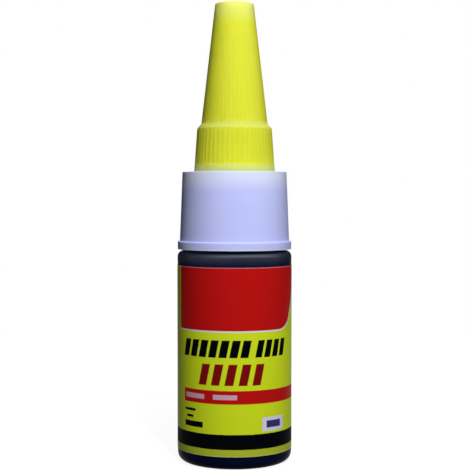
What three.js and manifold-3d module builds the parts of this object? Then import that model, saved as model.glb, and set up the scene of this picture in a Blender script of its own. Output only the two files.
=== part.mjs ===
// Squeeze bottle of instant adhesive: a black bottle with a wrap label, a nozzle closure pushed over
// the neck, and a tall fluted screw cap with a steel sealing pin.
// Millimetres, +Z up, origin at the centre of the base, front of the label towards -Y.

import * as THREE from "three";
import { mergeVertices } from "three/addons/utils/BufferGeometryUtils.js";
import Module from "manifold-3d";

// Bottle
const BODY_DIAMETER = 26.66;
const BODY_HEIGHT = 49.25;
const BODY_WALL = 1.2;
const BASE_ROUND = 2.1;
const SHOULDER_ROUND = 2.2;
const SHOULDER_WIDTH = 2.95;
const FOOT_WIDTH = 2.5;
const PUSH_UP_DEPTH = 1;
const PUSH_UP_SLOPE = 1.2;
const NECK_HEIGHT = 14.3;
const NECK_WALL = 1.5;
const NECK_ROOT_ROUND = 0.5;
const LIP_ROUND = 0.4;
const BEAD_STANDOUT = 0.6;
const BEAD_FLAT = 0.6;
const BEAD_LEAD_IN = 1.2;
const BEAD_DROP = 5;

// Adhesive inside the bottle
const HEADSPACE = 4.9;
const FILL_CLEARANCE = 0.1;

// Wrap label
const LABEL_THICKNESS = 0.05;
const LABEL_GLUE_LINE = 0.03;
const LABEL_SEAM = 3;
const LABEL_TOP_MARGIN = 1.15;
const LABEL_BOTTOM_MARGIN = 1.05;

// Nozzle closure
const CLOSURE_CLEARANCE = 0.3;
const SKIRT_TOP_WALL = 0.9;
const SKIRT_DRAFT = 0.63;
const FLANGE_STANDOUT = 0.49;
const FLANGE_HEIGHT = 1.9;
const FLANGE_ROUND = 0.3;
const FLANGE_FOOT_ROUND = 0.12;
const TOP_EDGE_ROUND = 0.35;
const TOP_SEAT_THICKNESS = 3.75;
const TOP_PLATE_THICKNESS = 1.6;
const PLUG_WALL = 1.1;
const PLUG_DEPTH = 2.4;
const PLUG_CHAMFER = 0.4;
const SKIRT_LEAD_IN = 0.5;
const POST_ROUND = 0.4;
const SPOUT_CLEARANCE = 1.86;
const SPOUT_BASE_WALL = 1.2;
const SPOUT_ROOT_ROUND = 0.8;
const SPOUT_TIP_WALL = 0.9;
const SPOUT_TIP_ROUND = 0.3;
const ORIFICE_LENGTH = 4;

// Screw cap
const CAP_CLEARANCE = 0.2;
const CAP_RIM_DIAMETER = 18.92;
const CAP_SKIRT_DRAFT = 0.72;
const CAP_HEIGHT = 39;
const CAP_SKIRT_HEIGHT = 9.9;
const CAP_RIM_HEIGHT = 1.3;
const CAP_SHOULDER_WIDTH = 0.98;
const CAP_SHOULDER_HEIGHT = 1.1;
const CAP_SHOULDER_ROUND = 0.5;
const CAP_TOP_DIAMETER = 8.98;
const CAP_TOP_ROUND = 0.35;
const CAP_CONE_WALL = 1.3;
const CAP_CROWN_THICKNESS = 1.6;
const CAP_THREAD_WALL = 1.6;
const CAP_THREAD_DEPTH = 8.6;
const CAP_ENTRY_CHAMFER = 0.4;
const THREAD_CLEARANCE = 0.5;
const FLUTE_COUNT = 48;
const FLUTE_DEPTH = 0.2;
const FLUTE_RUN_OUT = 0.4;
const CREST_SHARE = 0.24;
const ROOT_SHARE = 0.5;
const RIB_DEPTH = 0.07;
const RIB_RUN_IN = 0.8;
const RIB_BARE_LENGTH = 8.5;

// Sealing pin
const PIN_DIAMETER = 0.8;
const PIN_POINT_WIDTH = 0.25;
const PIN_POINT_LENGTH = 0.5;
const PIN_FIT = 0.05;
const PIN_SOCKET_DEPTH = 2.2;
const PIN_REACH = 3;
const PIN_CLEARANCE = 0.2;
const BOSS_WALL = 1.75;
const BOSS_LENGTH = 2.8;
const TIP_CLEARANCE = 0.8;

// Facets
const LATHE_SEGMENTS = 48;
const LABEL_ARC_SEGMENTS = 48;
const PIN_SEGMENTS = 16;
const LARGE_FILLET = 1;
const LARGE_FILLET_STEPS = 4;
const SMALL_FILLET_STEPS = 2;
const LONGEST_FILLET_SHARE = 0.49;
const WELD = 1e-4;

// Radii and heights that two or more pieces share
const bodyRadius = BODY_DIAMETER / 2;
const bodyBore = bodyRadius - BODY_WALL;
const neckRadius = bodyRadius - SHOULDER_WIDTH;
const neckBore = neckRadius - NECK_WALL;
const beadRadius = neckRadius + BEAD_STANDOUT;
const floorHeight = PUSH_UP_DEPTH + BODY_WALL;
const ceilingHeight = BODY_HEIGHT - BODY_WALL;
const lipHeight = BODY_HEIGHT + NECK_HEIGHT;
const beadHeight = lipHeight - BEAD_DROP;

const closureTop = lipHeight + CLOSURE_CLEARANCE + TOP_SEAT_THICKNESS;
const capBase = closureTop + CAP_CLEARANCE;
const capRimRadius = CAP_RIM_DIAMETER / 2;
const capSkirtTopRadius = capRimRadius - CAP_SKIRT_DRAFT;
const coneBaseRadius = capSkirtTopRadius - CAP_SHOULDER_WIDTH;
const coneBase = CAP_SKIRT_HEIGHT + CAP_SHOULDER_HEIGHT;
const coneTopRadius = CAP_TOP_DIAMETER / 2;
const coneBore = coneBaseRadius - CAP_CONE_WALL;
const capBore = capSkirtTopRadius - FLUTE_DEPTH - CAP_THREAD_WALL;
const bossBase = CAP_HEIGHT - CAP_CROWN_THICKNESS - BOSS_LENGTH;

const postRadius = capBore - THREAD_CLEARANCE;
const postTop = capBase + CAP_THREAD_DEPTH - CAP_CLEARANCE;
const spoutTip = capBase + bossBase - TIP_CLEARANCE;
const pinRadius = PIN_DIAMETER / 2;
const orificeRadius = pinRadius + PIN_CLEARANCE;

// An arc that rounds one corner of a profile, no longer than the sides it runs into
function cornerArc(before, corner, after, fillet) {
  const back = before.clone().sub(corner);
  const ahead = after.clone().sub(corner);
  const longestReach = LONGEST_FILLET_SHARE * Math.min(back.length(), ahead.length());
  back.normalize();
  ahead.normalize();
  const halfAngle = Math.acos(back.dot(ahead)) / 2;
  const reach = Math.min(fillet / Math.tan(halfAngle), longestReach);
  const inward = back.clone().add(ahead).normalize();
  const centre = corner.clone().addScaledVector(inward, reach / Math.cos(halfAngle));
  const start = corner.clone().addScaledVector(back, reach);
  const sweep = Math.sign(ahead.cross(back)) * (Math.PI - 2 * halfAngle);
  const steps = fillet < LARGE_FILLET ? SMALL_FILLET_STEPS : LARGE_FILLET_STEPS;
  return Array.from({ length: steps + 1 }, (_, k) => start.clone().rotateAround(centre, (sweep * k) / steps));
}

// Profile points from corners written as [radius, height] or [radius, height, fillet]
function profile(corners) {
  const places = corners.map(([radius, height]) => new THREE.Vector2(radius, height));
  return corners.flatMap(([, , fillet], i) =>
    fillet ? cornerArc(places.at(i - 1), places[i], places[(i + 1) % places.length], fillet) : [places[i]],
  );
}

// A solid turned about Z from a profile that starts and ends on the axis
function turned(corners, segments = LATHE_SEGMENTS) {
  return new THREE.LatheGeometry(profile(corners), segments).rotateX(Math.PI / 2);
}

// A turned solid with a hole right through, from a profile that closes on itself
function turnedRing(corners) {
  const points = profile(corners);
  return new THREE.LatheGeometry([...points, points[0]], LATHE_SEGMENTS).rotateX(Math.PI / 2);
}

// A closed skin over rings with equal counts of points, flat at both ends
function lofted(rings) {
  const count = rings[0].length;
  const positions = rings.flat().flatMap((point) => point.toArray());
  const indices = [];
  for (let level = 0; level < rings.length - 1; level += 1) {
    for (let k = 0; k < count; k += 1) {
      const here = level * count + k;
      const beside = level * count + ((k + 1) % count);
      indices.push(here, beside, beside + count);
      indices.push(here, beside + count, here + count);
    }
  }
  const bottomCentre = rings.length * count;
  const topCentre = bottomCentre + 1;
  const lastRing = (rings.length - 1) * count;
  positions.push(0, 0, rings[0][0].z, 0, 0, rings.at(-1)[0].z);
  for (let k = 0; k < count; k += 1) {
    const next = (k + 1) % count;
    indices.push(bottomCentre, next, k);
    indices.push(topCentre, lastRing + k, lastRing + next);
  }
  const geometry = new THREE.BufferGeometry();
  geometry.setAttribute("position", new THREE.Float32BufferAttribute(positions, 3));
  geometry.setIndex(indices);
  return geometry;
}

const wasm = await Module();
wasm.setup();

function solidOf(geometry) {
  const bare = geometry.clone();
  bare.deleteAttribute("normal");
  bare.deleteAttribute("uv");
  const welded = mergeVertices(bare, WELD);
  const vertProperties = welded.attributes.position.array;
  const triVerts = Uint32Array.from(welded.index.array);
  return new wasm.Manifold(new wasm.Mesh({ numProp: 3, vertProperties, triVerts }));
}

function geometryOf(solid) {
  const mesh = solid.getMesh();
  const geometry = new THREE.BufferGeometry();
  geometry.setAttribute("position", new THREE.BufferAttribute(mesh.vertProperties, 3));
  geometry.setIndex(new THREE.BufferAttribute(mesh.triVerts, 1));
  geometry.computeVertexNormals();
  return geometry;
}

// Blow-moulded body with a hollow base, rounded corners, and a neck whose bead holds the closure
function bottleGeometry() {
  const footOuter = bodyRadius - BASE_ROUND;
  const footInner = footOuter - FOOT_WIDTH;
  return turned([
    [0, PUSH_UP_DEPTH],
    [footInner - PUSH_UP_SLOPE, PUSH_UP_DEPTH],
    [footInner, 0],
    [bodyRadius, 0, BASE_ROUND],
    [bodyRadius, BODY_HEIGHT, SHOULDER_ROUND],
    [neckRadius, BODY_HEIGHT, NECK_ROOT_ROUND],
    [neckRadius, beadHeight],
    [beadRadius, beadHeight],
    [beadRadius, beadHeight + BEAD_FLAT],
    [neckRadius, beadHeight + BEAD_FLAT + BEAD_LEAD_IN],
    [neckRadius, lipHeight, LIP_ROUND],
    [neckBore, lipHeight, LIP_ROUND],
    [neckBore, ceilingHeight, NECK_ROOT_ROUND],
    [bodyBore, ceilingHeight, SHOULDER_ROUND - BODY_WALL],
    [bodyBore, floorHeight, BASE_ROUND - BODY_WALL],
    [0, floorHeight],
  ]);
}

// The charge of liquid, filling the body up to the headspace
function adhesiveGeometry() {
  const radius = bodyBore - FILL_CLEARANCE;
  return turned([
    [0, floorHeight + FILL_CLEARANCE],
    [radius, floorHeight + FILL_CLEARANCE, BASE_ROUND - BODY_WALL],
    [radius, ceilingHeight - HEADSPACE],
    [0, ceilingHeight - HEADSPACE],
  ]);
}

// Printed film glued round the straight side, with a bare seam at the back
function labelGeometry() {
  const inner = bodyRadius + LABEL_GLUE_LINE;
  const outer = inner + LABEL_THICKNESS;
  const bottom = BASE_ROUND + LABEL_BOTTOM_MARGIN;
  const top = BODY_HEIGHT - SHOULDER_ROUND - LABEL_TOP_MARGIN;
  const halfSeam = LABEL_SEAM / 2 / bodyRadius;
  const start = Math.PI / 2 + halfSeam;
  const end = (Math.PI * 5) / 2 - halfSeam;
  const outline = new THREE.Shape();
  outline.absarc(0, 0, outer, start, end, false);
  outline.absarc(0, 0, inner, end, start, true);
  const settings = { depth: top - bottom, curveSegments: LABEL_ARC_SEGMENTS, bevelEnabled: false };
  return new THREE.ExtrudeGeometry(outline, settings).translate(0, 0, bottom);
}

// One moulding: skirt pushed over the neck bead, plug seal, threaded post and tapered spout
function nozzleClosureGeometry() {
  const skirtBore = beadRadius + CLOSURE_CLEARANCE;
  const skirtTop = skirtBore + SKIRT_TOP_WALL;
  const skirtBase = skirtTop + SKIRT_DRAFT;
  const flange = skirtBase + FLANGE_STANDOUT;
  const base = BODY_HEIGHT + CLOSURE_CLEARANCE;
  const seat = lipHeight + CLOSURE_CLEARANCE;
  const catchRadius = neckRadius + CLOSURE_CLEARANCE;
  const catchTop = beadHeight - CLOSURE_CLEARANCE;
  const plate = closureTop - TOP_PLATE_THICKNESS;
  const plugOuter = neckBore - CLOSURE_CLEARANCE;
  const plugInner = plugOuter - PLUG_WALL;
  const plugEnd = lipHeight - PLUG_DEPTH;
  const spoutBase = coneBore - SPOUT_CLEARANCE;
  const spoutBore = spoutBase - SPOUT_BASE_WALL;
  const tip = orificeRadius + SPOUT_TIP_WALL;
  return turnedRing([
    [skirtBore + SKIRT_LEAD_IN, base],
    [flange, base, FLANGE_FOOT_ROUND],
    [flange, base + FLANGE_HEIGHT, FLANGE_ROUND],
    [skirtBase, base + FLANGE_HEIGHT],
    [skirtTop, closureTop, TOP_EDGE_ROUND],
    [postRadius, closureTop],
    [postRadius, postTop, POST_ROUND],
    [spoutBase, postTop, SPOUT_ROOT_ROUND],
    [tip, spoutTip, SPOUT_TIP_ROUND],
    [orificeRadius, spoutTip],
    [orificeRadius, spoutTip - ORIFICE_LENGTH],
    [spoutBore, postTop],
    [spoutBore, plate],
    [plugInner, plate],
    [plugInner, plugEnd],
    [plugOuter - PLUG_CHAMFER, plugEnd],
    [plugOuter, plugEnd + PLUG_CHAMFER],
    [plugOuter, seat],
    [skirtBore, seat],
    [skirtBore, catchTop],
    [catchRadius, catchTop],
    [catchRadius, catchTop - BEAD_FLAT],
    [skirtBore, catchTop - BEAD_FLAT - BEAD_LEAD_IN],
    [skirtBore, base + SKIRT_LEAD_IN],
  ]);
}

// One level of the cap's outside: every flute has a crest and a root, joined by sloping flanks
function flutedRing(height, radius, depth) {
  const pitch = (2 * Math.PI) / FLUTE_COUNT;
  const flute = [
    { turn: -CREST_SHARE / 2, inset: 0 },
    { turn: CREST_SHARE / 2, inset: 0 },
    { turn: (1 - ROOT_SHARE) / 2, inset: depth },
    { turn: (1 + ROOT_SHARE) / 2, inset: depth },
  ];
  return Array.from({ length: FLUTE_COUNT }, (_, k) =>
    flute.map(({ turn, inset }) => {
      const angle = (k + turn) * pitch;
      return new THREE.Vector3(
        (radius - inset) * Math.cos(angle),
        (radius - inset) * Math.sin(angle),
        height,
      );
    }),
  ).flat();
}

// Plain rim, fluted skirt, bevelled shoulder, then a ribbed cone that turns smooth near the top
function capOutside() {
  const rimCorner = new THREE.Vector2(capRimRadius, 0);
  const skirtCorner = new THREE.Vector2(capSkirtTopRadius, CAP_SKIRT_HEIGHT);
  const coneCorner = new THREE.Vector2(coneBaseRadius, coneBase);
  const topCorner = new THREE.Vector2(coneTopRadius, CAP_HEIGHT);
  const topCentre = new THREE.Vector2(0, CAP_HEIGHT);
  const radiusAt = (low, high, height) =>
    THREE.MathUtils.mapLinear(height, low.y, high.y, low.x, high.x);
  const shoulder = cornerArc(rimCorner, skirtCorner, coneCorner, CAP_SHOULDER_ROUND);
  const crown = cornerArc(coneCorner, topCorner, topCentre, CAP_TOP_ROUND);
  const fluteRoot = capSkirtTopRadius - FLUTE_DEPTH;
  const fluteTop = THREE.MathUtils.mapLinear(
    fluteRoot,
    skirtCorner.x,
    coneCorner.x,
    skirtCorner.y,
    coneCorner.y,
  );
  const fluteStart = CAP_RIM_HEIGHT + FLUTE_RUN_OUT;
  const ribStart = coneBase + RIB_RUN_IN;
  const ribEnd = CAP_HEIGHT - RIB_BARE_LENGTH;
  return lofted([
    flutedRing(rimCorner.y, rimCorner.x, 0),
    flutedRing(CAP_RIM_HEIGHT, radiusAt(rimCorner, skirtCorner, CAP_RIM_HEIGHT), 0),
    flutedRing(fluteStart, radiusAt(rimCorner, skirtCorner, fluteStart), FLUTE_DEPTH),
    ...shoulder.map((point) => flutedRing(point.y, point.x, point.x - fluteRoot)),
    flutedRing(fluteTop, fluteRoot, 0),
    flutedRing(coneBase, coneBaseRadius, 0),
    flutedRing(ribStart, radiusAt(coneCorner, topCorner, ribStart), RIB_DEPTH),
    flutedRing(ribEnd, radiusAt(coneCorner, topCorner, ribEnd), 0),
    ...crown.map((point) => flutedRing(point.y, point.x, 0)),
  ]);
}

// Hollow of the cap: thread bore, clearance round the spout, and a central boss for the pin
function capHollow() {
  const boss = pinRadius + PIN_FIT + BOSS_WALL;
  const ceiling = CAP_HEIGHT - CAP_CROWN_THICKNESS;
  const coneStep = Math.abs(capBore - coneBore);
  return turned([
    [0, -CAP_ENTRY_CHAMFER],
    [capBore + 2 * CAP_ENTRY_CHAMFER, -CAP_ENTRY_CHAMFER],
    [capBore, CAP_ENTRY_CHAMFER],
    [capBore, CAP_THREAD_DEPTH],
    [coneBore, CAP_THREAD_DEPTH + coneStep],
    [coneTopRadius - CAP_CONE_WALL, ceiling],
    [boss, ceiling],
    [boss, bossBase],
    [pinRadius + PIN_FIT, bossBase],
    [pinRadius + PIN_FIT, bossBase + PIN_SOCKET_DEPTH + PIN_FIT],
    [0, bossBase + PIN_SOCKET_DEPTH + PIN_FIT],
  ]);
}

function capGeometry() {
  return geometryOf(solidOf(capOutside()).subtract(solidOf(capHollow())));
}

// Straight steel wire with a blunted point, from its socket in the boss down into the orifice
function capPinGeometry() {
  const end = bossBase - TIP_CLEARANCE - PIN_REACH;
  const head = bossBase + PIN_SOCKET_DEPTH;
  return turned(
    [
      [0, end],
      [pinRadius - PIN_POINT_WIDTH, end],
      [pinRadius, end + PIN_POINT_LENGTH],
      [pinRadius, head],
      [0, head],
    ],
    PIN_SEGMENTS,
  );
}

function piece(name, geometry, look) {
  const mesh = new THREE.Mesh(geometry, new THREE.MeshStandardMaterial(look));
  mesh.name = name;
  return mesh;
}

const capGroup = new THREE.Group();
capGroup.position.z = capBase;
capGroup.add(
  piece("cap", capGeometry(), { color: 0xdde236, roughness: 0.45 }),
  piece("cap_pin", capPinGeometry(), { color: 0xb8babd, roughness: 0.3, metalness: 1 }),
);

const glueBottle = new THREE.Group();
glueBottle.add(
  piece("bottle", bottleGeometry(), { color: 0x0a0d18, roughness: 0.25 }),
  piece("adhesive", adhesiveGeometry(), { color: 0xe6ecef, roughness: 0.05 }),
  piece("label", labelGeometry(), { color: 0xb6c71b, roughness: 0.35 }),
  piece("nozzle_closure", nozzleClosureGeometry(), { color: 0xc3c9f4, roughness: 0.4 }),
  capGroup,
);

export default glueBottle;
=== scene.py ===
import math

import bpy
import numpy as np
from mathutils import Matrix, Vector


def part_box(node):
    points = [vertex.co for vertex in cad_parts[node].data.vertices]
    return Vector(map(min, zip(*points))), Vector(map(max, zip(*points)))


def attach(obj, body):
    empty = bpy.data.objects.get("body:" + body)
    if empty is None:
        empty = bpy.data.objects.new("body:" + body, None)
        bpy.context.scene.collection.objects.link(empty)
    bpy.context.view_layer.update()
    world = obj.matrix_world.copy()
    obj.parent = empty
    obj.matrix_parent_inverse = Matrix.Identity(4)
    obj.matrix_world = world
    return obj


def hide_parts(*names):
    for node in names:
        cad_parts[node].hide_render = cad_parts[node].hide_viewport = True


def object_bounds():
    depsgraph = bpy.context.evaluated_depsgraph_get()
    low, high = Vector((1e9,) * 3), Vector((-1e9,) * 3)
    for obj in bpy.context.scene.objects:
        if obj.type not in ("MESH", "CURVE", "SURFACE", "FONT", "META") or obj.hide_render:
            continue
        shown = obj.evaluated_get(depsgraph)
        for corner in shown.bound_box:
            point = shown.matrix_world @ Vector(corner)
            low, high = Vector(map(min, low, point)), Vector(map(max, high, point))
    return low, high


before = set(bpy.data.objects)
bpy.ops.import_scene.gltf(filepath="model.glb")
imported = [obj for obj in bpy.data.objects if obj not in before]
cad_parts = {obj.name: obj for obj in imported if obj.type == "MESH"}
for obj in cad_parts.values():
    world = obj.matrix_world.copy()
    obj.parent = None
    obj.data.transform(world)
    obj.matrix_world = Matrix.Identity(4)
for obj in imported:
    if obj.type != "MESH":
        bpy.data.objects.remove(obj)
cad_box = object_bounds()


# Bottle: the black squeeze bottle that everything else is fitted to.
# Polyethylene, blow-moulded in a split mould, which leaves a fine parting line on both sides and a
# pinched weld across the hollow base. The neck has a bead that the closure is pushed over.
MM = 0.001
BODY_WALL = 1.2 * MM
BASE_ROUND = 2.1 * MM
SHOULDER_ROUND = 2.2 * MM
SHOULDER_WIDTH = 2.95 * MM
SHOULDER_GAP = 0.3 * MM
FOOT_WIDTH = 2.5 * MM
FOOT_ROUND = 0.4 * MM
PUSH_UP_DEPTH = 1 * MM
PUSH_UP_SLOPE = 1.2 * MM
PUSH_UP_ROUND = 0.6 * MM
NECK_WALL = 1.5 * MM
NECK_ROOT_ROUND = 0.5 * MM
LIP_ROUND = 0.4 * MM
BEAD_DROP = 5 * MM
BEAD_STANDOUT = 0.6 * MM
BEAD_FLAT = 0.6 * MM
BEAD_LEAD_IN = 1.2 * MM
BEAD_ROUND = 0.15 * MM
BOTTLE_STEP = 1 * MM
BOTTLE_COLUMNS = 192
ARC_STEPS = 8
FINE_MARGIN = 0.001 * MM
LONGEST_FILLET = 0.49
SHARP_CORNER = math.radians(40)
PARTING_HEIGHT = 0.04 * MM
PARTING_WIDTH = 0.12 * MM
PARTING_TURNS = np.array([0.004, 0.009, 0.015, 0.022])
HOLLOW_MARGIN = 0.01 * MM
WELD_HEIGHT = 0.25 * MM
WELD_WIDTH = 0.22 * MM
SHOULDER_GLOSS_RUN = 2.7 * MM
BOTTLE_BLACK = (4, 10, 33)
BOTTLE_BLUE_BLACK = (8, 16, 42)
BOTTLE_SPECULAR = 0.008
BOTTLE_ROUGHNESS, BOTTLE_ROUGHER_CLOUDS, BOTTLE_ROUGHER_GRAIN = 0.24, 0.08, 0.04
SHOULDER_GLOSS, SHOULDER_GLOSS_ROUGHNESS = 0.8, 0.45
NOISE_DETAIL = 3.0
BOTTLE_CLOUDS, BOTTLE_GRAIN = 240, 5200
BOTTLE_GRAIN_DEPTH = 0.004 * MM

bottle_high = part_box("bottle")[1]
label_low, label_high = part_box("label")
closure_low, closure_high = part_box("nozzle_closure")
body_radius = bottle_high.x
body_height = closure_low.z - SHOULDER_GAP
body_bore = body_radius - BODY_WALL
neck_radius = body_radius - SHOULDER_WIDTH
neck_bore = neck_radius - NECK_WALL
lip_height = bottle_high.z
bead_height = lip_height - BEAD_DROP
bead_radius = neck_radius + BEAD_STANDOUT
floor_height = PUSH_UP_DEPTH + BODY_WALL
ceiling_height = body_height - BODY_WALL
foot_outer = body_radius - BASE_ROUND
foot_inner = foot_outer - FOOT_WIDTH


def rounded(corners, step, fine_step=None, fine_range=(0, 0)):
    """Outline through corners (radius, height) or (radius, height, fillet), cut to the step.

    A run that lies in the fine range of heights is cut to the fine step, for threads and flutes.
    """
    places = [Vector(corner[:2]) for corner in corners]
    points = []
    for index, corner in enumerate(corners):
        here = places[index]
        if len(corner) == 2:
            points.append(here)
            continue
        back = places[index - 1] - here
        ahead = places[(index + 1) % len(places)] - here
        longest = LONGEST_FILLET * min(back.length, ahead.length)
        half_angle = back.angle(ahead) / 2
        reach = min(corner[2] / math.tan(half_angle), longest)
        start = here + back.normalized() * reach
        end = here + ahead.normalized() * reach
        inward = (back.normalized() + ahead.normalized()).normalized()
        centre = here + inward * (reach / math.cos(half_angle))
        spoke = start - centre
        sweep = spoke.angle_signed(end - centre)
        for k in range(ARC_STEPS + 1):
            turn = -sweep * k / ARC_STEPS
            turned = Vector((
                spoke.x * math.cos(turn) - spoke.y * math.sin(turn),
                spoke.x * math.sin(turn) + spoke.y * math.cos(turn),
            ))
            points.append(centre + turned)
    outline = [points[0]]
    for point in points[1:]:
        start = outline[-1]
        run = point - start
        lowest, highest = sorted((start.y, point.y))
        is_fine = lowest > fine_range[0] - FINE_MARGIN and highest < fine_range[1] + FINE_MARGIN
        pieces = max(1, math.ceil(run.length / (fine_step if fine_step and is_fine else step)))
        outline += [start + run * (k + 1) / pieces for k in range(pieces)]
    return np.array(outline)


def revolved(name, outline, angles, relief=None):
    """Piece turned about Z, capped where its outline starts on the axis, or else closed on itself."""
    capped = outline[0, 0] == 0
    rows = outline[1:-1] if capped else outline
    count = len(angles)
    around = np.tile(angles, (len(rows), 1))
    radii = np.repeat(rows[:, :1], count, axis=1)
    heights = np.repeat(rows[:, 1:], count, axis=1)
    if relief:
        radii, heights = relief(radii, heights, around)
    grid = np.stack([radii * np.cos(around), radii * np.sin(around), heights], axis=-1)
    vertices = grid.reshape(-1, 3).tolist()
    last = len(rows) - 1
    faces = []
    for row in range(last if capped else last + 1):
        low = row * count
        high = (row + 1) % len(rows) * count
        for k in range(count):
            beside = (k + 1) % count
            faces.append((low + k, low + beside, high + beside, high + k))
    if capped:
        bottom = len(vertices)
        vertices.append((0, 0, heights[0].mean()))
        vertices.append((0, 0, heights[-1].mean()))
        for k in range(count):
            beside = (k + 1) % count
            faces.append((bottom, beside, k))
            faces.append((last * count + k, last * count + beside, bottom + 1))
    return placed(name, vertices, faces)


def placed(name, vertices, faces):
    """A smooth-shaded mesh object whose sharp corners stay sharp."""
    mesh = bpy.data.meshes.new(name)
    mesh.from_pydata(vertices, [], faces)
    mesh.shade_smooth()
    mesh.set_sharp_from_angle(angle=SHARP_CORNER)
    piece = bpy.data.objects.new(name, mesh)
    bpy.context.scene.collection.objects.link(piece)
    return piece


def even_turn(count):
    return np.arange(count) * (2 * math.pi / count)


def mould_lines(radii, heights, around):
    """Parting lines up both sides outside the label, and the pinched weld across the hollow base."""
    from_plane = radii * np.sin(around)
    parting = np.exp(-((from_plane / PARTING_WIDTH) ** 2))
    weld = np.exp(-((from_plane / WELD_WIDTH) ** 2))
    weld = weld * np.clip((foot_inner - radii) / PUSH_UP_SLOPE, 0, 1)
    outside = np.arange(len(radii))[:, None] < np.argmax(heights[:, 0])
    bare = (heights < label_low.z) | (heights > label_high.z)
    below = heights < PUSH_UP_DEPTH + HOLLOW_MARGIN
    hollow = outside & below & (radii < foot_inner)
    radii = radii + PARTING_HEIGHT * parting * (outside & bare & ~below)
    heights = heights - WELD_HEIGHT * weld * hollow
    return radii, heights


bottle_outline = rounded(
    [
        (0, PUSH_UP_DEPTH),
        (foot_inner - PUSH_UP_SLOPE, PUSH_UP_DEPTH, PUSH_UP_ROUND),
        (foot_inner, 0, FOOT_ROUND),
        (body_radius, 0, BASE_ROUND),
        (body_radius, body_height, SHOULDER_ROUND),
        (neck_radius, body_height, NECK_ROOT_ROUND),
        (neck_radius, bead_height),
        (bead_radius, bead_height, BEAD_ROUND),
        (bead_radius, bead_height + BEAD_FLAT, BEAD_ROUND),
        (neck_radius, bead_height + BEAD_FLAT + BEAD_LEAD_IN),
        (neck_radius, lip_height, LIP_ROUND),
        (neck_bore, lip_height, LIP_ROUND),
        (neck_bore, ceiling_height, NECK_ROOT_ROUND),
        (body_bore, ceiling_height, SHOULDER_ROUND - BODY_WALL),
        (body_bore, floor_height, BASE_ROUND - BODY_WALL),
        (0, floor_height),
    ],
    BOTTLE_STEP,
)
near_parting = np.concatenate([-PARTING_TURNS, PARTING_TURNS])
bottle_angles = [even_turn(BOTTLE_COLUMNS), near_parting, near_parting + math.pi]
bottle_angles = np.sort(np.concatenate(bottle_angles))
bottle_body = revolved("bottle_body", bottle_outline, bottle_angles, mould_lines)


class Shade:
    """A shader socket: arithmetic on it adds Math nodes, and node() adds any other node."""

    def __init__(self, tree, socket):
        self.tree = tree
        self.socket = socket

    def node(self, kind, settings, sockets, output=0):
        added = self.tree.nodes.new(kind)
        for name, value in settings.items():
            setattr(added, name, value)
        for name, value in sockets.items():
            if isinstance(value, Shade):
                self.tree.links.new(value.socket, added.inputs[name])
            else:
                added.inputs[name].default_value = value
        return Shade(self.tree, added.outputs[output])

    def math(self, operation, first, second=0.0):
        return self.node("ShaderNodeMath", {"operation": operation}, {0: first, 1: second})

    def __add__(self, other):
        return self.math("ADD", self, other)

    def __radd__(self, other):
        return self.math("ADD", other, self)

    def __sub__(self, other):
        return self.math("SUBTRACT", self, other)

    def __rsub__(self, other):
        return self.math("SUBTRACT", other, self)

    def __mul__(self, other):
        return self.math("MULTIPLY", self, other)

    def __rmul__(self, other):
        return self.math("MULTIPLY", other, self)

    def __truediv__(self, other):
        return self.math("DIVIDE", self, other)

    def __pow__(self, other):
        return self.math("POWER", self, other)


def colour(red, green, blue):
    """A colour written as on a screen, 0 to 255, as the shader's linear values."""
    shares = np.array([red, green, blue]) / 255
    linear = np.where(shares < 0.04045, shares / 12.92, ((shares + 0.055) / 1.055) ** 2.4)
    return (*linear.tolist(), 1.0)


def finish(name, constants):
    """A new material, its shader with its constant sockets set, and the place on the piece."""
    material = bpy.data.materials.new(name)
    material.use_nodes = True
    tree = material.node_tree
    shader = tree.nodes["Principled BSDF"]
    for socket, value in constants.items():
        shader.inputs[socket].default_value = value
    place = tree.nodes.new("ShaderNodeTexCoord")
    return material, shader, Shade(tree, place.outputs["Object"])


def feed(shader, sockets):
    """Links values that change over the surface to a shader's sockets."""
    for name, value in sockets.items():
        value.tree.links.new(value.socket, shader.inputs[name])


def axes(place):
    """The place's X, Y and Z as values."""
    return [place.node("ShaderNodeSeparateXYZ", {}, {0: place}, axis) for axis in "XYZ"]


def noise(place, scale, stretch=(1, 1, 1)):
    """Cloudy variation from 0 to 1, with a scale in patches per metre."""
    stretched = place.node("ShaderNodeVectorMath", {"operation": "MULTIPLY"}, {0: place, 1: stretch})
    sockets = {"Vector": stretched, "Scale": scale, "Detail": NOISE_DETAIL}
    return place.node("ShaderNodeTexNoise", {}, sockets)


def blended(mask, under, over):
    """The colour under, covered by the colour over where the mask is 1."""
    return mask.node("ShaderNodeMix", {"data_type": "RGBA"}, {0: mask, 6: under, 7: over}, 2)


def relief_normal(height, depth):
    """Fine relief too shallow to model, as a normal."""
    return height.node("ShaderNodeBump", {}, {"Height": height, "Strength": 1.0, "Distance": depth})


def black_plastic():
    """Satin low down, and glossier up to the shoulder."""
    material, shader, place = finish(
        "black_polyethylene",
        {"Specular IOR Level": BOTTLE_SPECULAR, "Coat Roughness": SHOULDER_GLOSS_ROUGHNESS},
    )
    clouds = noise(place, BOTTLE_CLOUDS)
    grain = noise(place, BOTTLE_GRAIN)
    z = axes(place)[2]
    shoulder = place.node("ShaderNodeClamp", {}, {0: (z - label_high.z) / SHOULDER_GLOSS_RUN})
    roughness = BOTTLE_ROUGHNESS + BOTTLE_ROUGHER_CLOUDS * clouds + BOTTLE_ROUGHER_GRAIN * grain
    feed(shader, {
        "Base Color": blended(clouds, colour(*BOTTLE_BLACK), colour(*BOTTLE_BLUE_BLACK)),
        "Coat Weight": SHOULDER_GLOSS * shoulder,
        "Roughness": roughness,
        "Normal": relief_normal(grain, BOTTLE_GRAIN_DEPTH),
    })
    return material


bottle_body.data.materials.append(black_plastic())
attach(bottle_body, "bottle")
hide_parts("bottle")


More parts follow.
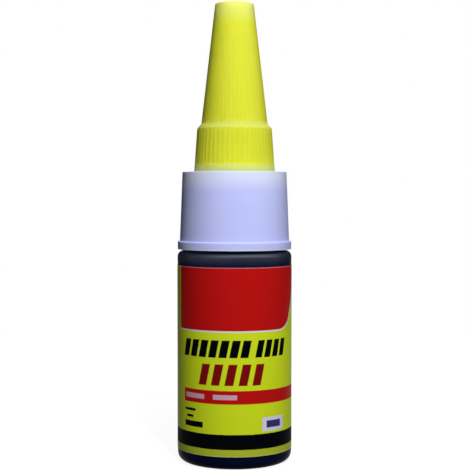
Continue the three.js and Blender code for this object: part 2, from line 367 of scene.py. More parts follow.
# Adhesive: the charge of clear, thin liquid in the bottle.
# It is filled through the neck before the closure goes on, wets the wall, and climbs it a little
# round the edge of its level.
MENISCUS_RISE = 0.6 * MM
MENISCUS_REACH = 1.2 * MM
MENISCUS_STEPS = 24
FILL_STEP = 2 * MM
FILL_COLUMNS = 128
FILL_TINT = (238, 243, 240)
FILL_CLEAR = (246, 248, 242)
FILL_INDEX = 1.45
FILL_ROUGHNESS, FILL_ROUGHER_CLOUDS = 0.01, 0.02
FILL_CLOUDS = 90

fill_low, fill_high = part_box("adhesive")
fill_radius = fill_high.x
meniscus = [
    (radius, fill_high.z - MENISCUS_RISE * (1 - math.exp((radius - fill_radius) / MENISCUS_REACH)))
    for radius in np.linspace(fill_radius, 0, MENISCUS_STEPS)
]
fill_outline = rounded(
    [(0, fill_low.z), (fill_radius, fill_low.z, BASE_ROUND - BODY_WALL), *meniscus],
    FILL_STEP,
)
adhesive_fill = revolved("adhesive_fill", fill_outline, even_turn(FILL_COLUMNS))


def clear_liquid():
    material, shader, place = finish(
        "clear_adhesive",
        {"Transmission Weight": 1.0, "IOR": FILL_INDEX},
    )
    clouds = noise(place, FILL_CLOUDS)
    feed(shader, {
        "Base Color": blended(clouds, colour(*FILL_TINT), colour(*FILL_CLEAR)),
        "Roughness": FILL_ROUGHNESS + FILL_ROUGHER_CLOUDS * clouds,
    })
    return material


adhesive_fill.data.materials.append(clear_liquid())
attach(adhesive_fill, "bottle")
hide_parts("adhesive")


# Nozzle closure: one milky polyethylene moulding pushed over the neck's bead for good.
# Injection-moulded, with a tapered skirt and a bead round its foot, a plug that seals the neck,
# and, under the cap, the threaded post and the long spout that the adhesive is dropped from.
CLOSURE_CLEARANCE = 0.3 * MM
SKIRT_TOP_WALL = 0.9 * MM
SKIRT_DRAFT = 0.63 * MM
SKIRT_LEAD_IN = 0.5 * MM
FLANGE_HEIGHT = 1.9 * MM
FLANGE_ROUND = 0.18 * MM
FLANGE_FOOT_ROUND = 0.12 * MM
FLANGE_ROOT_ROUND = 0.15 * MM
TOP_EDGE_ROUND = 0.15 * MM
TOP_SEAT_THICKNESS = 3.75 * MM
TOP_PLATE_THICKNESS = 1.6 * MM
PLUG_WALL = 1.1 * MM
PLUG_DEPTH = 2.4 * MM
PLUG_CHAMFER = 0.4 * MM
POST_RADIUS = 6.44 * MM
POST_HEIGHT = 8.6 * MM
POST_ROUND = 0.4 * MM
SPOUT_BASE_RADIUS = 4.6 * MM
SPOUT_BASE_WALL = 1.2 * MM
SPOUT_ROOT_ROUND = 0.8 * MM
SPOUT_TIP_RADIUS = 1.5 * MM
SPOUT_TIP_ROUND = 0.3 * MM
ORIFICE_RADIUS = 0.6 * MM
ORIFICE_LENGTH = 4 * MM
THREAD_LEAD = 2.5 * MM
THREAD_HEIGHT = 0.38 * MM
THREAD_FADE = 1.2 * MM
THREAD_MIDDLE, THREAD_SWING = 0.35, 0.9
CLOSURE_STEP = 1 * MM
THREAD_STEP = 0.15 * MM
CLOSURE_COLUMNS = 192
CLOSURE_LAVENDER = (196, 203, 252)
CLOSURE_DEEPER_LAVENDER = (188, 194, 250)
# The milk colour also serves as the painted highlight along the flange's foot.
CLOSURE_MILK_AND_HIGHLIGHT = (215, 222, 250)
MILK_START = 1 * MM
MILK_RUN = 3 * MM
FOOT_HIGHLIGHT_LINE = 0.35 * MM
CLOSURE_ROUGHNESS, CLOSURE_ROUGHER_FLOW = 0.38, 0.1
CLOSURE_SPECULAR = 0.2
CLOSURE_SCATTER, CLOSURE_SCATTER_LENGTH = 0.25, 0.6 * MM
CLOSURE_SCATTER_COLOURS = (0.9, 0.95, 1.2)
CLOSURE_FLOW, CLOSURE_GRAIN = 160, 4200
CLOSURE_FLOW_STRETCH = (1, 1, 0.35)
CLOSURE_GRAIN_DEPTH = 0.003 * MM

flange_radius = closure_high.x
skirt_bore = bead_radius + CLOSURE_CLEARANCE
skirt_top = skirt_bore + SKIRT_TOP_WALL
skirt_base = skirt_top + SKIRT_DRAFT
closure_base = closure_low.z
closure_seat = lip_height + CLOSURE_CLEARANCE
closure_top = closure_seat + TOP_SEAT_THICKNESS
catch_radius = neck_radius + CLOSURE_CLEARANCE
catch_top = bead_height - CLOSURE_CLEARANCE
plug_outer = neck_bore - CLOSURE_CLEARANCE
plug_end = lip_height - PLUG_DEPTH
post_top = closure_top + POST_HEIGHT
spout_tip = closure_high.z
spout_bore = SPOUT_BASE_RADIUS - SPOUT_BASE_WALL


def thread_ridge(heights, around, low, high, offset):
    """Height of a right-hand thread, 0 to 1, fading out at both ends."""
    phase = heights / THREAD_LEAD - around / (2 * math.pi) + offset
    wave = np.cos(2 * math.pi * phase)
    ridge = np.clip(THREAD_MIDDLE + THREAD_SWING * wave, 0, 1)
    fade_in = np.clip((heights - low) / THREAD_FADE, 0, 1)
    fade_out = np.clip((high - heights) / THREAD_FADE, 0, 1)
    return ridge * np.sqrt(fade_in * fade_out)


def post_thread(radii, heights, around):
    on_post = np.isclose(radii, POST_RADIUS) & (heights > closure_top)
    ridge = thread_ridge(heights, around, closure_top, post_top, 0)
    return radii + THREAD_HEIGHT * ridge * on_post, heights


closure_outline = rounded(
    [
        (skirt_bore + SKIRT_LEAD_IN, closure_base),
        (flange_radius, closure_base, FLANGE_FOOT_ROUND),
        (flange_radius, closure_base + FLANGE_HEIGHT, FLANGE_ROUND),
        (skirt_base, closure_base + FLANGE_HEIGHT, FLANGE_ROOT_ROUND),
        (skirt_top, closure_top, TOP_EDGE_ROUND),
        (POST_RADIUS, closure_top),
        (POST_RADIUS, post_top, POST_ROUND),
        (SPOUT_BASE_RADIUS, post_top, SPOUT_ROOT_ROUND),
        (SPOUT_TIP_RADIUS, spout_tip, SPOUT_TIP_ROUND),
        (ORIFICE_RADIUS, spout_tip),
        (ORIFICE_RADIUS, spout_tip - ORIFICE_LENGTH),
        (spout_bore, post_top),
        (spout_bore, closure_top - TOP_PLATE_THICKNESS),
        (plug_outer - PLUG_WALL, closure_top - TOP_PLATE_THICKNESS),
        (plug_outer - PLUG_WALL, plug_end),
        (plug_outer - PLUG_CHAMFER, plug_end),
        (plug_outer, plug_end + PLUG_CHAMFER),
        (plug_outer, closure_seat),
        (skirt_bore, closure_seat),
        (skirt_bore, catch_top),
        (catch_radius, catch_top),
        (catch_radius, catch_top - BEAD_FLAT),
        (skirt_bore, catch_top - BEAD_FLAT - BEAD_LEAD_IN),
        (skirt_bore, closure_base + SKIRT_LEAD_IN),
    ],
    CLOSURE_STEP,
    THREAD_STEP,
    (closure_top, post_top),
)
closure_angles = even_turn(CLOSURE_COLUMNS)
nozzle_moulding = revolved("nozzle_moulding", closure_outline, closure_angles, post_thread)


def edge(distance, softness):
    """A mask that is 1 where the distance is above 0, with an edge of that softness."""
    return distance.node("ShaderNodeClamp", {}, {0: distance / softness + 0.5})


def milky_plastic():
    """Milky where it is thick, lavender where the dark neck shows through the skirt, and a painted
    highlight along the flange's foot.
    """
    material, shader, place = finish(
        "milky_polyethylene",
        {
            "Subsurface Weight": CLOSURE_SCATTER,
            "Subsurface Radius": CLOSURE_SCATTER_COLOURS,
            "Subsurface Scale": CLOSURE_SCATTER_LENGTH,
            "Specular IOR Level": CLOSURE_SPECULAR,
        },
    )
    z = axes(place)[2]
    flow = noise(place, CLOSURE_FLOW, CLOSURE_FLOW_STRETCH)
    grain = noise(place, CLOSURE_GRAIN)
    thick_top = edge(z - lip_height - MILK_START, MILK_RUN)
    # The pale line along the flange's foot is a painted highlight, in the milky colour.
    painted_foot_highlight = edge(closure_base + FOOT_HIGHLIGHT_LINE - z, FOOT_HIGHLIGHT_LINE)
    clouded = blended(flow, colour(*CLOSURE_LAVENDER), colour(*CLOSURE_DEEPER_LAVENDER))
    feed(shader, {
        "Base Color": blended(thick_top + painted_foot_highlight, clouded, colour(*CLOSURE_MILK_AND_HIGHLIGHT)),
        "Roughness": CLOSURE_ROUGHNESS + CLOSURE_ROUGHER_FLOW * flow,
        "Normal": relief_normal(grain, CLOSURE_GRAIN_DEPTH),
    })
    return material


nozzle_moulding.data.materials.append(milky_plastic())
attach(nozzle_moulding, "bottle")
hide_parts("nozzle_closure")


# Label: printed plastic film glued round the straight side, with its ends apart at the back.
# Yellow-green, with a red panel, a red stripe, a black band, a white patch and rows of plain bars.
LABEL_THICKNESS = 0.05 * MM
LABEL_SEAM = 3 * MM
LABEL_TURNS = 360
LABEL_LEVELS = 60
LABEL_EDGE = 0.03 * MM
PRINT_SOFTNESS = 0.1
BAND_LOW, BAND_HIGH = 4.79, 8.21
STRIPE_LOW, STRIPE_HIGH, STRIPE_START = 15.10, 18.13, -13.62
PANEL_LOW, PANEL_START, PANEL_START_ROUND = 31.63, -15.66, 0.5
PANEL_END, PANEL_END_SLOPE, PANEL_END_ROUND = 14.5, 0.52, 2.5
KEYLINE_WIDTH = 0.35
HEADLINE_LOW, HEADLINE_HIGH = 25.6, 29.5
HEADLINE_BARS = [(-13.3, 7, 2.5, 1.85), (5.2, 4, 2.2, 1.6)]
FIGURE_LOW, FIGURE_HIGH = 19.3, 24.1
FIGURE_START, FIGURE_PITCH, FIGURE_WIDTH, FIGURE_COUNT = -8.2, 3.2, 2.0, 5
PRINT_SLANT = 0.21
PATCH_LOW, PATCH_HIGH, PATCH_START, PATCH_END = 8.7, 11.9, 6.6, 13.0
PATCH_BAR = (9.5, 11.1, 7.7, 11.9)
SMALL_RULES = [(13.1, 13.7, -13.3, -9.7), (11.6, 12.2, -12.6, -10.4), (9.5, 10.8, -13.3, -7.6)]
STRIPE_RULES = [(16.1, 17.2, -12.9, -7.2), (16.1, 17.2, -5.0, 0.6)]
LABEL_EDGE_LINE = 0.2
LABEL_YELLOW = (208, 226, 34)
LABEL_GREENER_YELLOW = (200, 219, 31)
# The yellow below the black band, darker as painted shade towards the bottom.
LABEL_FOOT_SHADED_YELLOW = (172, 186, 42)
LABEL_RED = (184, 18, 17)
LABEL_DARK_RED = (120, 12, 14)
LABEL_WHITE = (214, 214, 236)
LABEL_BLUE = (52, 54, 104)
LABEL_INK = (5, 6, 9)
STRIPE_RULE_COVER, EDGE_LINE_AND_HIGHLIGHT_COVER = 0.55, 0.2
FILM_SPECULAR, INK_SPECULAR, INK_ROUGHNESS = 0.03, 0.006, 0.5
FILM_ROUGHNESS, FILM_ROUGHER_CLOUDS = 0.42, 0.08
FILM_CLOUDS, FILM_GRAIN = 120, 7000
FILM_GRAIN_DEPTH = 0.002 * MM

label_radius = label_high.x
seam_half_angle = LABEL_SEAM / 2 / body_radius


def edged(start, end, count, margin):
    """Evenly spaced values with one more close to each end, so that the film's edges stay crisp."""
    return np.concatenate([[start], np.linspace(start + margin, end - margin, count), [end]])


label_turns = edged(
    math.pi / 2 + seam_half_angle,
    2.5 * math.pi - seam_half_angle,
    LABEL_TURNS,
    LABEL_EDGE / label_radius,
)
label_heights = edged(label_low.z, label_high.z, LABEL_LEVELS, LABEL_EDGE)
columns = len(label_turns)
label_sheet = [
    (label_radius * math.cos(turn), label_radius * math.sin(turn), height)
    for height in label_heights
    for turn in label_turns
]
label_cells = [
    (low + k, low + k + 1, low + columns + k + 1, low + columns + k)
    for low in range(0, (len(label_heights) - 1) * columns, columns)
    for k in range(columns - 1)
]
label_wrap = placed("label_wrap", label_sheet, label_cells)
film = label_wrap.modifiers.new("film_thickness", "SOLIDIFY")
film.thickness = LABEL_THICKNESS
film.offset = -1


def printed_film():
    """Inks printed on film: u runs round from the front and z runs up, both in millimetres."""
    material, inks, place = finish("printed_film", {"Specular IOR Level": FILM_SPECULAR})
    x, y, z = axes(place)
    u = x.math("ARCTAN2", x, 0 - y) * (label_radius / MM)
    z = z / MM

    def above(value, level):
        return edge(value - level, PRINT_SOFTNESS)

    def between(value, low, high):
        return above(value, low) * (1 - above(value, high))

    def corner(first, second, radius):
        """Distance into the corner between two edges, rounded by the radius."""
        near_first = (radius - first).math("MAXIMUM", radius - first, 0.0)
        near_second = (radius - second).math("MAXIMUM", radius - second, 0.0)
        return radius - (near_first**2 + near_second**2) ** 0.5

    slanted = u - z * PRINT_SLANT
    headline_middle = PRINT_SLANT * (HEADLINE_LOW + HEADLINE_HIGH) / 2
    figure_middle = PRINT_SLANT * (FIGURE_LOW + FIGURE_HIGH) / 2

    panel_end = (PANEL_END + (z - PANEL_LOW) * PANEL_END_SLOPE - u) / math.hypot(1, PANEL_END_SLOPE)
    right_corner = corner(z - PANEL_LOW, panel_end, PANEL_END_ROUND)
    left_corner = corner(z - PANEL_LOW, u - PANEL_START, PANEL_START_ROUND)
    into_panel = right_corner.math("MINIMUM", right_corner, left_corner)
    panel = edge(into_panel, PRINT_SOFTNESS)
    keyline = (edge(into_panel + KEYLINE_WIDTH, PRINT_SOFTNESS) - panel) * above(u, PANEL_START)

    stripe = between(z, STRIPE_LOW, STRIPE_HIGH) * above(u, STRIPE_START)
    patch = between(z, PATCH_LOW, PATCH_HIGH) * between(u, PATCH_START, PATCH_END)
    band = between(z, BAND_LOW, BAND_HIGH)
    headline_row = between(z, HEADLINE_LOW, HEADLINE_HIGH)
    headline = 0.0
    for first, count, pitch, width in HEADLINE_BARS:
        for k in range(count):
            start = first + k * pitch - headline_middle
            headline = headline + between(slanted, start, start + width) * headline_row
    figure_row = between(z, FIGURE_LOW, FIGURE_HIGH)
    figures = 0.0
    for k in range(FIGURE_COUNT):
        start = FIGURE_START + k * FIGURE_PITCH - figure_middle
        figures = figures + between(slanted, start, start + FIGURE_WIDTH) * figure_row

    def rules(places):
        """Plain level bars, each given by its lower and upper edge, start and end."""
        drawn = 0.0
        for low, high, start, end in places:
            drawn = drawn + between(z, low, high) * between(u, start, end)
        return drawn

    # A pale line along the film's top and bottom edges: partly its unprinted margin, partly a painted
    # highlight where the edge catches light.
    print_low = label_low.z / MM + LABEL_EDGE_LINE
    print_high = label_high.z / MM - LABEL_EDGE_LINE
    film_edge_and_highlight = 1 - between(z, print_low, print_high)
    clouds = noise(place, FILM_CLOUDS)
    grain = noise(place, FILM_GRAIN)
    print_colour = blended(clouds, colour(*LABEL_YELLOW), colour(*LABEL_GREENER_YELLOW))
    # Below the black band the yellow is darker: painted shade towards the bottom.
    print_colour = blended(1 - above(z, BAND_LOW), print_colour, colour(*LABEL_FOOT_SHADED_YELLOW))
    print_colour = blended(keyline, print_colour, colour(*LABEL_WHITE))
    print_colour = blended(panel, print_colour, colour(*LABEL_RED))
    print_colour = blended(stripe, print_colour, colour(*LABEL_RED))
    print_colour = blended(STRIPE_RULE_COVER * rules(STRIPE_RULES), print_colour, colour(*LABEL_WHITE))
    print_colour = blended(patch, print_colour, colour(*LABEL_WHITE))
    print_colour = blended(rules([PATCH_BAR]), print_colour, colour(*LABEL_BLUE))
    print_colour = blended(figures, print_colour, colour(*LABEL_DARK_RED))
    print_colour = blended(EDGE_LINE_AND_HIGHLIGHT_COVER * film_edge_and_highlight, print_colour, colour(*LABEL_WHITE))
    roughness = FILM_ROUGHNESS + FILM_ROUGHER_CLOUDS * clouds
    normal = relief_normal(grain, FILM_GRAIN_DEPTH)
    feed(inks, {"Base Color": print_colour, "Roughness": roughness, "Normal": normal})

    ink_sockets = {
        "Base Color": colour(*LABEL_INK),
        "Specular IOR Level": INK_SPECULAR,
        "Roughness": INK_ROUGHNESS,
    }
    black_ink = place.node("ShaderNodeBsdfPrincipled", {}, ink_sockets)
    all_inks = Shade(place.tree, inks.outputs[0])
    black = band + headline + rules(SMALL_RULES)
    covered = place.node("ShaderNodeMixShader", {}, {0: black, 1: all_inks, 2: black_ink})
    feed(place.tree.nodes["Material Output"], {"Surface": covered})
    return material


label_wrap.data.materials.append(printed_film())
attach(label_wrap, "bottle")
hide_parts("label")


# Screw cap: tall yellow cap that closes the spout.
# Injection-moulded polyethylene, fluted for the fingers round its skirt and finely ribbed up its
# cone, with a thread inside the skirt, a boss for the pin under the crown and a gate mark on top.
CAP_SEAT_GAP = 0.02 * MM
RIM_HEIGHT = 1.3 * MM
CAP_SKIRT_HEIGHT = 9.9 * MM
CAP_SKIRT_DRAFT = 0.72 * MM
CAP_SHOULDER_WIDTH = 0.98 * MM
CAP_SHOULDER_HEIGHT = 1.1 * MM
CAP_TOP_RADIUS = 4.49 * MM
CAP_TOP_ROUND = 0.35 * MM
CAP_RIM_ROUND = 0.12 * MM
CAP_BORE = 6.94 * MM
CAP_THREAD_DEPTH = 8.6 * MM
CAP_ENTRY_CHAMFER = 0.4 * MM
CAP_CONE_WALL = 1.3 * MM
CAP_CROWN_THICKNESS = 1.6 * MM
BOSS_RADIUS = 2.2 * MM
BOSS_LENGTH = 2.8 * MM
SOCKET_RADIUS = 0.45 * MM
SOCKET_DEPTH = 2.25 * MM
FLUTE_COUNT = 48
FLUTE_DEPTH = 0.11 * MM
FLUTE_RUN_OUT = 0.4 * MM
CREST_WIDTH = 0.16
RIB_DEPTH = 0.05 * MM
RIB_RUN_IN = 0.8 * MM
RIB_BARE_LENGTH = 8.5 * MM
GATE_RADIUS = 1.3 * MM
GATE_DEPTH = 0.2 * MM
GATE_ROUND = 0.15 * MM
COLUMNS_PER_FLUTE = 8
CAP_THREAD_OFFSET = 0.5
CAP_STEP = 0.75 * MM
CAP_FINE_STEP = 0.22 * MM
CAP_YELLOW = (220, 224, 50)
CAP_OLIVE_YELLOW = (212, 216, 42)
CAP_GROOVE_SHADE_OLIVE = (205, 209, 43)
GROOVE_SHADE = 0.2
# Painted reflection of the milky closure below, on the plain rim.
CAP_RIM_PAINTED_REFLECTION = (204, 213, 116)
# Painted highlight on the bevel: whiter than the yellow, and less bright.
CAP_BEVEL_PAINTED_HIGHLIGHT = (200, 207, 104)
# Painted glow near the top, where light comes through the thin crown.
CAP_CROWN_PAINTED_GLOW = (222, 229, 128)
RIM_REFLECTION_RUN = 0.9 * MM
BEVEL_HIGHLIGHT_RUN = 0.8 * MM
BEVEL_HIGHLIGHT_SCALLOP = 0.45 * MM
CROWN_GLOW_HEIGHT = 3 * MM
CROWN_GLOW_RUN = 5 * MM
CROWN_GLOW_COVER = 0.75
CAP_ROUGHNESS, CAP_ROUGHER_FLOW = 0.46, 0.1
CAP_SPECULAR = 0.18
CAP_SCATTER, CAP_SCATTER_LENGTH = 0.8, 2.6 * MM
CAP_SCATTER_COLOURS = (1.0, 1.0, 0.35)
CAP_FLOW, CAP_GRAIN = 140, 4800
CAP_FLOW_STRETCH = (1, 1, 0.25)
CAP_GRAIN_DEPTH = 0.003 * MM

cad_cap_low, cap_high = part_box("cap")
cap_base = closure_top + CAP_SEAT_GAP
cap_top = cap_high.z
rim_radius = cap_high.x
skirt_top_radius = rim_radius - CAP_SKIRT_DRAFT
skirt_top_height = cad_cap_low.z + CAP_SKIRT_HEIGHT
cone_base_radius = skirt_top_radius - CAP_SHOULDER_WIDTH
cone_base_height = skirt_top_height + CAP_SHOULDER_HEIGHT
cone_bore = cone_base_radius - CAP_CONE_WALL
thread_top = cad_cap_low.z + CAP_THREAD_DEPTH
flute_start = cad_cap_low.z + RIM_HEIGHT
rib_start = cone_base_height + RIB_RUN_IN
rib_end = cap_top - RIB_BARE_LENGTH
crown_underside = cap_top - CAP_CROWN_THICKNESS
boss_end = crown_underside - BOSS_LENGTH
cap_outline = rounded(
    [
        (0, boss_end + SOCKET_DEPTH),
        (SOCKET_RADIUS, boss_end + SOCKET_DEPTH),
        (SOCKET_RADIUS, boss_end),
        (BOSS_RADIUS, boss_end),
        (BOSS_RADIUS, crown_underside),
        (CAP_TOP_RADIUS - CAP_CONE_WALL, crown_underside),
        (cone_bore, thread_top + CAP_BORE - cone_bore),
        (CAP_BORE, thread_top),
        (CAP_BORE, cap_base + CAP_ENTRY_CHAMFER),
        (CAP_BORE + CAP_ENTRY_CHAMFER, cap_base),
        (rim_radius, cap_base, CAP_RIM_ROUND),
        (skirt_top_radius, skirt_top_height),
        (cone_base_radius, cone_base_height),
        (CAP_TOP_RADIUS, cap_top, CAP_TOP_ROUND),
        (GATE_RADIUS, cap_top, GATE_ROUND),
        (GATE_RADIUS, cap_top - GATE_DEPTH, GATE_ROUND),
        (0, cap_top - GATE_DEPTH),
    ],
    CAP_STEP,
    CAP_FINE_STEP,
    (cap_base, cone_base_height),
)


def smooth_rise(value, low, high):
    share = np.clip((value - low) / (high - low), 0, 1)
    return share * share * (3 - 2 * share)


def cap_relief(radii, heights, around):
    """Flutes cut back by the bevel above them, ribs that fade up the cone, and the thread inside."""
    rows = np.arange(len(radii))[:, None]
    lowest = np.argmin(heights[:, 0])
    outside = rows > lowest
    pitches = around * FLUTE_COUNT / (2 * math.pi)
    from_crest = np.abs(pitches - np.round(pitches))
    groove = 1 - np.exp(-((from_crest / CREST_WIDTH) ** 2))
    skirt_line = np.interp(heights, [cad_cap_low.z, skirt_top_height], [rim_radius, skirt_top_radius])
    flute_depth = FLUTE_DEPTH * smooth_rise(heights, flute_start, flute_start + FLUTE_RUN_OUT)
    fluted = np.minimum(radii, skirt_line - flute_depth * groove)
    on_skirt = outside & (heights < cone_base_height)
    rib_depth = RIB_DEPTH * smooth_rise(heights, cone_base_height, rib_start)
    rib_depth = rib_depth * (1 - smooth_rise(heights, rib_start, rib_end))
    on_cone = outside & (heights >= cone_base_height) & (heights < rib_end)
    inside_bore = (rows < lowest) & np.isclose(radii, CAP_BORE)
    ridge = thread_ridge(heights, around, cap_base, thread_top, CAP_THREAD_OFFSET)
    radii = np.where(on_skirt, fluted, radii)
    radii = np.where(on_cone, radii - rib_depth * groove, radii)
    radii = np.where(inside_bore, radii - THREAD_HEIGHT * ridge, radii)
    return radii, heights


cap_angles = even_turn(FLUTE_COUNT * COLUMNS_PER_FLUTE)
screw_cap = revolved("screw_cap", cap_outline, cap_angles, cap_relief)


def yellow_plastic():
    """Translucent yellow, with painted shade in the grooves, a painted reflection on the rim, a painted
    highlight on the bevel and a painted glow at the crown.
    """
    material, shader, place = finish(
        "yellow_polyethylene",
        {
            "Subsurface Weight": CAP_SCATTER,
            "Subsurface Radius": CAP_SCATTER_COLOURS,
            "Subsurface Scale": CAP_SCATTER_LENGTH,
            "Specular IOR Level": CAP_SPECULAR,
        },
    )
    flow = noise(place, CAP_FLOW, CAP_FLOW_STRETCH)
    grain = noise(place, CAP_GRAIN)
    x, y, z = axes(place)
    turn = x.math("ARCTAN2", y, x) * FLUTE_COUNT
    wave = turn.math("COSINE", turn)
    # The bevel's painted highlight, with its lower edge scalloped by the flutes.
    highlight_scallop = BEVEL_HIGHLIGHT_SCALLOP * wave
    # Painted reflection of the milky closure below, on the plain rim.
    rim = edge(flute_start - z, RIM_REFLECTION_RUN)
    bevel = edge(z + highlight_scallop - skirt_top_height, BEVEL_HIGHLIGHT_RUN)
    bevel = bevel * edge(cone_base_height + highlight_scallop - z, BEVEL_HIGHLIGHT_RUN)
    # Painted glow near the top, where light comes through the thin crown.
    crown = edge(z - cap_top + CROWN_GLOW_HEIGHT, CROWN_GLOW_RUN)
    yellow = blended(flow, colour(*CAP_YELLOW), colour(*CAP_OLIVE_YELLOW))
    # Painted shade in the flutes' grooves.
    yellow = blended(GROOVE_SHADE * (1 - wave), yellow, colour(*CAP_GROOVE_SHADE_OLIVE))
    yellow_with_painted_light = blended(bevel, yellow, colour(*CAP_BEVEL_PAINTED_HIGHLIGHT))
    yellow_with_painted_light = blended(CROWN_GLOW_COVER * crown, yellow_with_painted_light, colour(*CAP_CROWN_PAINTED_GLOW))
    feed(shader, {
        "Base Color": blended(rim, yellow_with_painted_light, colour(*CAP_RIM_PAINTED_REFLECTION)),
        "Roughness": CAP_ROUGHNESS + CAP_ROUGHER_FLOW * flow,
        "Normal": relief_normal(grain, CAP_GRAIN_DEPTH),
    })
    return material


screw_cap.data.materials.append(yellow_plastic())
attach(screw_cap, "cap")
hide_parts("cap")


# Sealing pin: short steel wire that keeps the spout's orifice open while the cap is on.
# Cut from bright drawn wire with its end blunted, and pressed into the boss under the cap's crown.
PIN_POINT_WIDTH = 0.25 * MM
PIN_POINT_LENGTH = 0.5 * MM
PIN_HEAD_ROUND = 0.1 * MM
PIN_STEP = 0.25 * MM
PIN_COLUMNS = 48
PIN_STEEL = (196, 198, 201)
PIN_DARKER_STEEL = (168, 170, 174)
PIN_ROUGHNESS, PIN_ROUGHER_LINES = 0.18, 0.2
PIN_DRAW_LINES = 9000
PIN_LINE_STRETCH = (1, 1, 0.02)
PIN_LINE_DEPTH = 0.002 * MM

pin_low, pin_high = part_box("cap_pin")
pin_radius = pin_high.x
pin_outline = rounded(
    [
        (0, pin_low.z),
        (pin_radius - PIN_POINT_WIDTH, pin_low.z, PIN_HEAD_ROUND),
        (pin_radius, pin_low.z + PIN_POINT_LENGTH, PIN_HEAD_ROUND),
        (pin_radius, pin_high.z, PIN_HEAD_ROUND),
        (0, pin_high.z),
    ],
    PIN_STEP,
)
sealing_pin = revolved("sealing_pin", pin_outline, even_turn(PIN_COLUMNS))


def drawn_steel():
    material, shader, place = finish("drawn_steel", {"Metallic": 1.0})
    draw_lines = noise(place, PIN_DRAW_LINES, PIN_LINE_STRETCH)
    feed(shader, {
        "Base Color": blended(draw_lines, colour(*PIN_STEEL), colour(*PIN_DARKER_STEEL)),
        "Roughness": PIN_ROUGHNESS + PIN_ROUGHER_LINES * draw_lines,
        "Normal": relief_normal(draw_lines, PIN_LINE_DEPTH),
    })
    return material


sealing_pin.data.materials.append(drawn_steel())
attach(sealing_pin, "cap_pin")
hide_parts("cap_pin")


# Floor: a wide white studio table under the bottle.
# The camera sees most of it as bright as the backdrop, with the bottle's shadow left in.
FLOOR_HALF_WIDTH = 3.0
FLOOR_NEAR = 0.18
FLOOR_GLOW = 0.9
FLOOR_SHADED = (0.14, 0.14, 0.14, 1)
FLOOR_BOUNCE = (0.05, 0.05, 0.05, 1)
FLOOR_ROUGHNESS = 0.9

floor_corners = [(-1, -1), (1, -1), (1, 1), (-1, 1)]
floor_vertices = [(x * FLOOR_HALF_WIDTH, y * FLOOR_HALF_WIDTH, 0) for x, y in floor_corners]
studio_floor = placed("studio_floor", floor_vertices, [(0, 1, 2, 3)])


def seen_directly(start):
    """1 for the rays that show a thing to the camera, straight or through gloss and glass."""
    straight = start.node("ShaderNodeLightPath", {}, {}, "Is Camera Ray")
    in_gloss = start.node("ShaderNodeLightPath", {}, {}, "Is Glossy Ray")
    through_glass = start.node("ShaderNodeLightPath", {}, {}, "Is Transmission Ray")
    indirect = in_gloss.math("MAXIMUM", in_gloss, through_glass)
    return straight.math("MAXIMUM", straight, indirect)


def floor_paint():
    material, shader, place = finish(
        "floor_paint",
        {"Base Color": FLOOR_BOUNCE, "Roughness": FLOOR_ROUGHNESS},
    )
    distance = place.node("ShaderNodeVectorMath", {"operation": "LENGTH"}, {0: place}, "Value")
    lit = place.node("ShaderNodeBsdfDiffuse", {}, {"Color": FLOOR_SHADED})
    glow = place.node("ShaderNodeEmission", {}, {"Strength": FLOOR_GLOW})
    near = place.node("ShaderNodeAddShader", {}, {0: lit, 1: glow})
    backdrop_white = place.node("ShaderNodeEmission", {}, {"Strength": 1.0})
    far = edge(distance - FLOOR_NEAR, FLOOR_NEAR)
    seen = place.node("ShaderNodeMixShader", {}, {0: far, 1: near, 2: backdrop_white})
    paint = Shade(place.tree, shader.outputs[0])
    mixed = place.node("ShaderNodeMixShader", {}, {0: seen_directly(place), 1: paint, 2: seen})
    feed(place.tree.nodes["Material Output"], {"Surface": mixed})
    return material


studio_floor.data.materials.append(floor_paint())


# Studio light: a tall softbox close in front, high and a little to the right, and two behind.
# These give no gloss, a wide strip gives nothing else, and black cards on both sides keep the edges
# dark. The backdrop shows white to the camera and lights the bottle only faintly.
KEY_AZIMUTH, KEY_ELEVATION, KEY_DISTANCE = 14, 42, 0.33
KEY_WIDTH, KEY_HEIGHT, KEY_POWER = 0.04, 0.3, 1.4
STRIP_AZIMUTH, STRIP_ELEVATION, STRIP_DISTANCE = 24, 49, 0.5
STRIP_WIDTH, STRIP_HEIGHT, STRIP_POWER = 2.0, 0.16, 8.0
BACK_AZIMUTH, BACK_ELEVATION, BACK_DISTANCE = 166, 32, 0.6
BACK_WIDTH, BACK_HEIGHT, BACK_POWER = 0.2, 0.3, 1.5
FILL_LEVEL = 0.02
FLAG_SIDE, FLAG_FRONT, FLAG_BACK, FLAG_HEIGHT = 0.2, 0.03, 2.8, 0.8
FELT_BLACK = (0.01, 0.01, 0.01, 1)

aim = Vector((0, 0, (cad_box[0].z + cad_box[1].z) / 2))


def softbox(name, azimuth, elevation, distance, width, height, power):
    """A soft lamp turned to the middle of the bottle, with its azimuth in degrees from the front."""
    turn = math.radians(azimuth)
    rise = math.radians(elevation)
    level = math.cos(rise)
    way = Vector((math.sin(turn) * level, -math.cos(turn) * level, math.sin(rise)))
    light = bpy.data.lights.new(name, "AREA")
    light.shape = "RECTANGLE"
    light.size = width
    light.size_y = height
    light.energy = power
    lamp = bpy.data.objects.new(name, light)
    lamp.location = aim + way * distance
    lamp.rotation_euler = way.to_track_quat("Z", "Y").to_euler()
    bpy.context.scene.collection.objects.link(lamp)
    return lamp


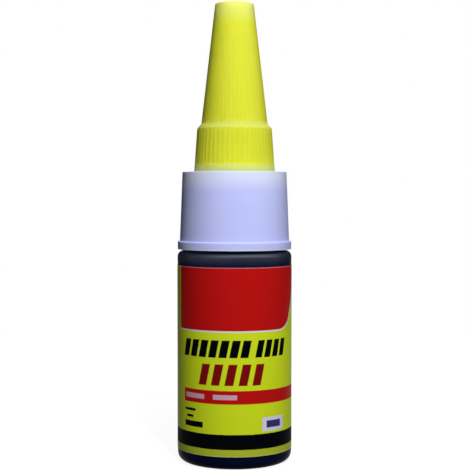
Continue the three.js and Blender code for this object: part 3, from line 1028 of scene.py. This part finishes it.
key = softbox("key_light", KEY_AZIMUTH, KEY_ELEVATION, KEY_DISTANCE, KEY_WIDTH, KEY_HEIGHT, KEY_POWER)
key.visible_glossy = False
strip = softbox(
    "strip_light", STRIP_AZIMUTH, STRIP_ELEVATION, STRIP_DISTANCE, STRIP_WIDTH, STRIP_HEIGHT, STRIP_POWER
)
strip.visible_diffuse = False
for side in (-1, 1):
    azimuth = side * BACK_AZIMUTH
    back = softbox(
        "back_light", azimuth, BACK_ELEVATION, BACK_DISTANCE, BACK_WIDTH, BACK_HEIGHT, BACK_POWER
    )
    back.visible_glossy = False

black_felt = finish("black_felt", {"Base Color": FELT_BLACK, "Roughness": 1.0})[0]
flag_corners = [(FLAG_FRONT, 0), (FLAG_BACK, 0), (FLAG_BACK, FLAG_HEIGHT), (FLAG_FRONT, FLAG_HEIGHT)]
for side in (-1, 1):
    flag_vertices = [(side * FLAG_SIDE, y, z) for y, z in flag_corners]
    flag = placed("black_flag", flag_vertices, [(0, 1, 2, 3)])
    flag.data.materials.append(black_felt)
    flag.visible_camera = False

world = bpy.data.worlds.new("studio")
world.use_nodes = True
bpy.context.scene.world = world
fill = world.node_tree.nodes["Background"]
fill.inputs["Color"].default_value = (1, 1, 1, 1)
fill.inputs["Strength"].default_value = FILL_LEVEL
fill_light = Shade(world.node_tree, fill.outputs[0])
backdrop = fill_light.node("ShaderNodeBackground", {}, {"Color": (1, 1, 1, 1), "Strength": 1.0})
shown = seen_directly(fill_light)
studio = fill_light.node("ShaderNodeMixShader", {}, {0: shown, 1: fill_light, 2: backdrop})
feed(world.node_tree.nodes["World Output"], {"Surface": studio})
bpy.context.scene.view_settings.view_transform = "Standard"


# Camera: a little above the middle of the bottle, tilted down, with a moderately long lens.
# The picture is square, and the bottle fills its height.
PICTURE_PIXELS = 470
FOCAL_PIXELS = 1215
CAMERA_DISTANCE = 0.285
CAMERA_HEIGHT = 62.2 * MM
CAMERA_SIDE = 0.117 * MM
CAMERA_TILT = math.radians(1.886)
SENSOR_WIDTH = 36
NEAREST_SEEN = 0.01

lens = bpy.data.cameras.new("camera")
lens.sensor_width = SENSOR_WIDTH
lens.lens = SENSOR_WIDTH * FOCAL_PIXELS / PICTURE_PIXELS
lens.clip_start = NEAREST_SEEN
camera = bpy.data.objects.new("camera", lens)
camera.location = (CAMERA_SIDE, -CAMERA_DISTANCE, CAMERA_HEIGHT)
camera.rotation_euler = (math.pi / 2 - CAMERA_TILT, 0, 0)
bpy.context.scene.collection.objects.link(camera)
bpy.context.scene.camera = camera
